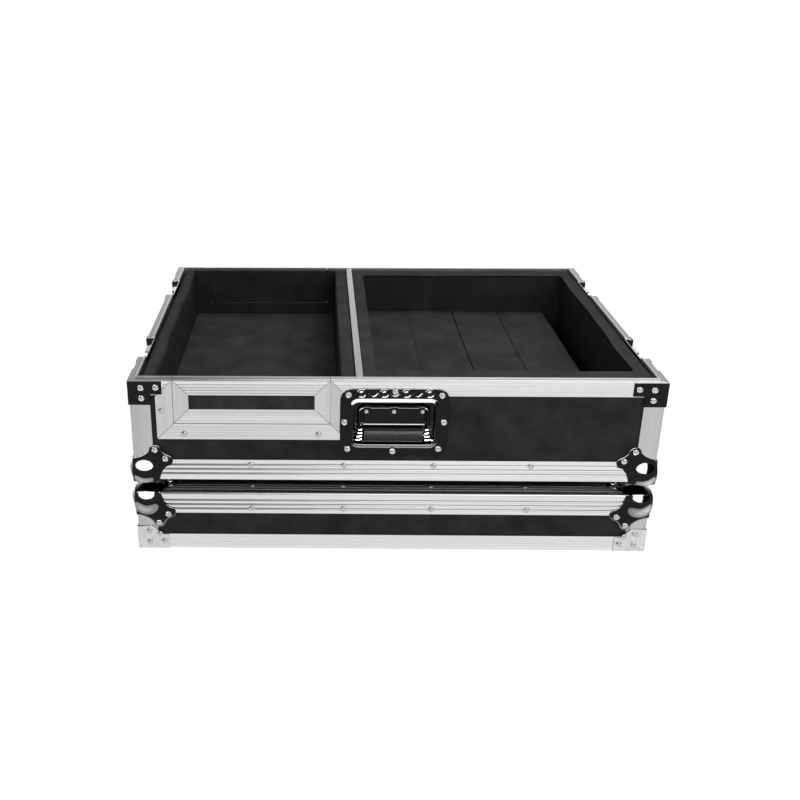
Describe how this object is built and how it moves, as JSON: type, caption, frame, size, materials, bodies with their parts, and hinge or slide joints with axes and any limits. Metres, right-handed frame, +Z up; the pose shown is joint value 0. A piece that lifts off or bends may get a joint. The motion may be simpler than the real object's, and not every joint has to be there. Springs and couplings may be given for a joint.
{
  "type": "dj equipment case",
  "caption": "Open flight case for a turntable and a mixer: foam-lined tray with lift-out doors, recessed latches and sprung handle, standing on its lid.",
  "frame": {"origin": "on the floor under the middle of the case, at the bottom centre of its box", "axes": "+X along the case's length to the turntable side, -Y towards the front with the handle, +Z up"},
  "size_m": [0.7966, 0.6126, 0.2825],
  "materials": {
    "edge_aluminium": "satin extruded edging with fine lengthwise ribs",
    "black_laminate": "plywood under fine pebbled black laminate",
    "dark_chrome": "bright plated pressed steel",
    "galvanised_steel": "dull zinc plate",
    "black_foam": "matt foam with a short nap",
    "black_rubber": "smooth moulded rubber"
  },
  "bodies": {
    "lid": {"lid_shell": "black_laminate", "lid_foam": "black_foam", "lid_edging": "edge_aluminium", "lid_left_rim": "edge_aluminium", "lid_right_rim": "edge_aluminium", "lid_ball_corner_front_left": "dark_chrome", "lid_ball_corner_front_right": "dark_chrome", "lid_ball_corner_rear_right": "dark_chrome", "lid_ball_corner_rear_left": "dark_chrome", "lid_brace_front_left": "galvanised_steel", "lid_brace_front_right": "galvanised_steel", "lid_brace_rear_right": "galvanised_steel", "lid_brace_rear_left": "galvanised_steel", "latch_keeper_front_left": "dark_chrome", "latch_keeper_rear_left": "dark_chrome", "latch_keeper_front_right": "dark_chrome", "latch_keeper_rear_right": "dark_chrome"},
    "tray": {"tray_front_wall": "black_laminate", "tray_rear_wall": "black_laminate", "tray_left_wall": "black_laminate", "tray_right_wall": "black_laminate", "tray_floor": "black_laminate", "tray_edging": "edge_aluminium", "divider": "black_laminate", "mixer_bay_liner": "black_foam", "turntable_bay_liner": "black_foam", "turntable_bed": "black_foam", "tray_left_rim": "edge_aluminium", "tray_right_rim": "edge_aluminium", "handle_dish": "dark_chrome", "tray_ball_corner_front_left": "dark_chrome", "tray_ball_corner_front_right": "dark_chrome", "tray_ball_corner_rear_right": "dark_chrome", "tray_ball_corner_rear_left": "dark_chrome", "tray_bracket_front_left": "dark_chrome", "tray_bracket_front_right": "dark_chrome", "tray_bracket_rear_right": "dark_chrome", "tray_bracket_rear_left": "dark_chrome", "latch_dish_front_left": "dark_chrome", "latch_dish_rear_left": "dark_chrome", "latch_dish_front_right": "dark_chrome", "latch_dish_rear_right": "dark_chrome"},
    "front_door": {"front_door_frame": "edge_aluminium", "front_door_panel": "black_laminate"},
    "rear_door": {"rear_door_frame": "edge_aluminium", "rear_door_panel": "black_laminate"},
    "handle": {"handle_bail": "dark_chrome", "handle_grip": "black_rubber"},
    "rotor_front_left": {"latch_rotor_front_left": "dark_chrome"},
    "hook_front_left": {"latch_hook_front_left": "dark_chrome"},
    "wing_front_left": {"latch_wing_front_left": "dark_chrome"},
    "rotor_rear_left": {"latch_rotor_rear_left": "dark_chrome"},
    "hook_rear_left": {"latch_hook_rear_left": "dark_chrome"},
    "wing_rear_left": {"latch_wing_rear_left": "dark_chrome"},
    "rotor_front_right": {"latch_rotor_front_right": "dark_chrome"},
    "hook_front_right": {"latch_hook_front_right": "dark_chrome"},
    "wing_front_right": {"latch_wing_front_right": "dark_chrome"},
    "rotor_rear_right": {"latch_rotor_rear_right": "dark_chrome"},
    "hook_rear_right": {"latch_hook_rear_right": "dark_chrome"},
    "wing_rear_right": {"latch_wing_rear_right": "dark_chrome"}
  },
  "joints": [
    {"name": "tray_lift", "type": "slide", "parent": "lid", "child": "tray", "axis": [0, 0, 1], "range_m": [0, 0.15]},
    {"name": "front_door_lift", "type": "slide", "parent": "tray", "child": "front_door", "axis": [0, 0, 1], "range_m": [0, 0.08]},
    {"name": "rear_door_lift", "type": "slide", "parent": "tray", "child": "rear_door", "axis": [0, 0, 1], "range_m": [0, 0.08]},
    {"name": "handle_swing", "type": "hinge", "parent": "tray", "child": "handle", "pos_m": [-0.0017, -0.2869, 0.234], "axis": [-1, 0, 0], "range_deg": [0, 90], "stiffness_Nm_per_rad": 0.3, "springref_deg": -20.05},
    {"name": "latch_turn_front_left", "type": "hinge", "parent": "tray", "child": "rotor_front_left", "pos_m": [-0.3805, -0.1575, 0.246], "axis": [-1, 0, 0], "range_deg": [0, 180]},
    {"name": "hook_slide_front_left", "type": "slide", "parent": "tray", "child": "hook_front_left", "axis": [0, 0, 1], "range_m": [0, 0.012]},
    {"name": "wing_fold_front_left", "type": "hinge", "parent": "rotor_front_left", "child": "wing_front_left", "pos_m": [-0.3845, -0.1575, 0.246], "axis": [0, 1, 0], "range_deg": [0, 90]},
    {"name": "latch_turn_rear_left", "type": "hinge", "parent": "tray", "child": "rotor_rear_left", "pos_m": [-0.3805, 0.1575, 0.246], "axis": [-1, 0, 0], "range_deg": [0, 180]},
    {"name": "hook_slide_rear_left", "type": "slide", "parent": "tray", "child": "hook_rear_left", "axis": [0, 0, 1], "range_m": [0, 0.012]},
    {"name": "wing_fold_rear_left", "type": "hinge", "parent": "rotor_rear_left", "child": "wing_rear_left", "pos_m": [-0.3845, 0.1575, 0.246], "axis": [0, 1, 0], "range_deg": [0, 90]},
    {"name": "latch_turn_front_right", "type": "hinge", "parent": "tray", "child": "rotor_front_right", "pos_m": [0.3805, -0.1575, 0.246], "axis": [1, 0, 0], "range_deg": [0, 180]},
    {"name": "hook_slide_front_right", "type": "slide", "parent": "tray", "child": "hook_front_right", "axis": [0, 0, 1], "range_m": [0, 0.012]},
    {"name": "wing_fold_front_right", "type": "hinge", "parent": "rotor_front_right", "child": "wing_front_right", "pos_m": [0.3845, -0.1575, 0.246], "axis": [0, -1, 0], "range_deg": [0, 90]},
    {"name": "latch_turn_rear_right", "type": "hinge", "parent": "tray", "child": "rotor_rear_right", "pos_m": [0.3805, 0.1575, 0.246], "axis": [1, 0, 0], "range_deg": [0, 180]},
    {"name": "hook_slide_rear_right", "type": "slide", "parent": "tray", "child": "hook_rear_right", "axis": [0, 0, 1], "range_m": [0, 0.012]},
    {"name": "wing_fold_rear_right", "type": "hinge", "parent": "rotor_rear_right", "child": "wing_rear_right", "pos_m": [0.3845, 0.1575, 0.246], "axis": [0, -1, 0], "range_deg": [0, 90]}
  ],
  "couplings": [
    {"joint": "hook_slide_front_left", "follows": "latch_turn_front_left", "m_per_rad": 0.00381},
    {"joint": "hook_slide_rear_left", "follows": "latch_turn_rear_left", "m_per_rad": 0.00381},
    {"joint": "hook_slide_front_right", "follows": "latch_turn_front_right", "m_per_rad": 0.00381},
    {"joint": "hook_slide_rear_right", "follows": "latch_turn_rear_right", "m_per_rad": 0.00381}
  ]
}
